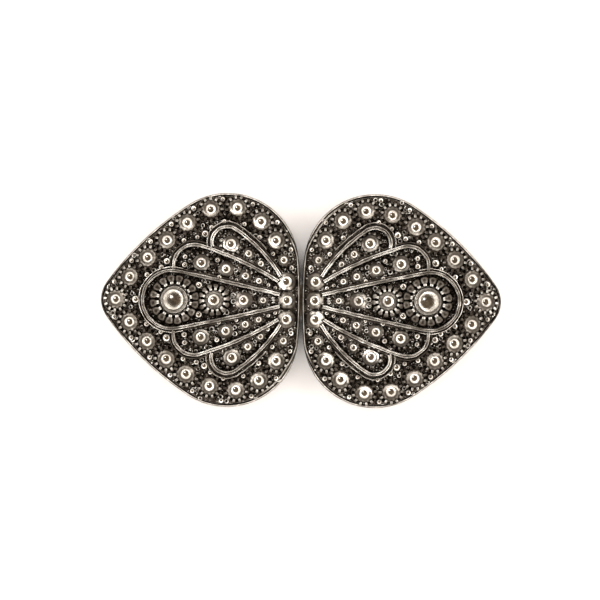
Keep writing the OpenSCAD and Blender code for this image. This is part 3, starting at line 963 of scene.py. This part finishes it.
# All on both sides of the axis, and one on it, between the tip and the large cell
spots = [(x, y * side, r) for x, y, r in spots for side in (1, -1)] + [(-26.5, 0, 0.55)]
granule_about = 0.08
granules = []
for x, y, r in spots:
    granules.append(stood(granule, x, y, uneven(180), r / granule_r * (1 + uneven(granule_about))))
granules = joined(granules)
bpy.data.objects.remove(granule)
smooth(granules, 60)
both_halves(granules, "granules")


def inside(x, y, inset):
    """Whether a point lies within the outline of the left half, set in by a distance."""
    y = abs(y)
    for centre, radius, start, end, _ in OUTLINE:
        far = math.hypot(x - centre[0], y - centre[1])
        if far > radius - inset and start <= angle_to(centre, (x, y)) % 360 <= end:
            return False
    return x < -joint_gap / 2 - inset


speck_r, speck_height = 0.1, 1.2
curl_r, curl_t, curl_lean, curl_over = 0.24, 0.11, 14, 0.03
let_go()
bpy.ops.mesh.primitive_ico_sphere_add(subdivisions=1, radius=speck_r * MM)
speck = bpy.context.object
bpy.ops.object.mode_set(mode="EDIT")
bpy.ops.mesh.select_all(action="SELECT")
bpy.ops.transform.resize(value=(1, 1, speck_height))
mark(speck, polish=0.85, satin=0.35)
bpy.ops.object.mode_set(mode="OBJECT")

let_go()
bpy.ops.mesh.primitive_torus_add(
    major_segments=9, minor_segments=4, major_radius=curl_r * MM, minor_radius=curl_t / 2 * MM)
curl = bpy.context.object
bpy.ops.object.mode_set(mode="EDIT")
bpy.ops.mesh.select_all(action="SELECT")
bpy.ops.transform.rotate(value=math.radians(curl_lean), orient_axis="Y", center_override=(0, 0, 0))
bpy.ops.transform.translate(value=(0, 0, curl_over * MM))
mark(curl, polish=0.8, satin=0.35)
bpy.ops.object.mode_set(mode="OBJECT")

# Three short bars, one above the other, lie beside the joint's middle knob
BAR_SIZE = (3.4, 1.5, 1.8, 1)
bar_x, BAR_YS, bar_polish = -4.4, (0.4, 0.04, -0.38), 1.1
bar = copied(speck, Matrix.Diagonal(BAR_SIZE))
for shine in bar.data.attributes["polish"].data:
    shine.value = bar_polish
specks = [stood(bar, bar_x, y) for y in BAR_YS]
bpy.data.objects.remove(bar)
far_x, far_y, rim_clear, sunk_about = 32, 17, 0.5, 0.04
# Shape, how many, smallest and largest size
for shape, count, low, high in ((speck, 800, 0.6, 1.6), (curl, 220, 0.6, 1.5)):
    kept = 0
    while kept < count:
        x, y = random.uniform(-far_x, 0), random.uniform(-far_y, far_y)
        free = all(math.hypot(x - c_x, y - c_y) > clear for c_x, c_y, clear in CLEAR)
        if free and inside(x, y, rim_clear):
            one = stood(shape, x, y, random.uniform(0, 360), random.uniform(low, high))
            one.data.transform(Matrix.Translation((0, 0, uneven(sunk_about) * MM)))
            specks.append(one)
            kept += 1
    bpy.data.objects.remove(shape)
specks = joined(specks)
smooth(specks, 60)
both_halves(specks, "cast_specks")


# Hook and eye
# A strip of nickel-plated steel riveted behind the left half, bent down round the bar of a stamped plate
# that is riveted behind the right half. Both are hidden from the front, so they are the part's own solids,
# with a satin plated finish.
def plated_steel():
    """Nickel plate on rolled steel: even and satin, with fine drawn lines along the strip."""
    made, tree = new_material("nickel_plated_steel")
    place = add_node(tree, "TexCoord").outputs["Object"]
    line_width, line_length, line_depth, stain_size = 0.05, 2.0, 0.01, 1.5
    across = 1 / (line_width * MM)
    drawn = add_node(tree, "Mapping", {"Vector": place, "Scale": (1 / (line_length * MM), across, across)})
    lines = add_node(tree, "TexNoise", {"Vector": drawn.outputs[0], "Scale": 1.0, "Detail": 2.0})
    stains = add_node(tree, "TexNoise", {"Vector": place, "Scale": 1 / (stain_size * MM), "Detail": 3.0})
    colour = add_node(tree, "ValToRGB", {"Fac": stains.outputs["Fac"]})
    fill_ramp(colour.color_ramp, [(0.3, "#8e8981"), (0.55, "#c4c0b9")])
    rough = add_node(tree, "MapRange", {"Value": lines.outputs["Fac"], "To Min": 0.25, "To Max": 0.45})
    relief = add_node(tree, "Bump", {
        "Height": lines.outputs["Fac"], "Strength": 0.3, "Distance": line_depth * MM})
    surface = add_node(tree, "BsdfPrincipled", {
        "Base Color": colour.outputs[0], "Metallic": 1.0, "Roughness": rough.outputs[0],
        "Normal": relief.outputs[0]})
    add_node(tree, "OutputMaterial", {"Surface": surface.outputs[0]})
    return made


steel_finish = plated_steel()
for name in ("hook", "eye"):
    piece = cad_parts[name]
    piece.data.materials.clear()
    piece.data.materials.append(steel_finish)
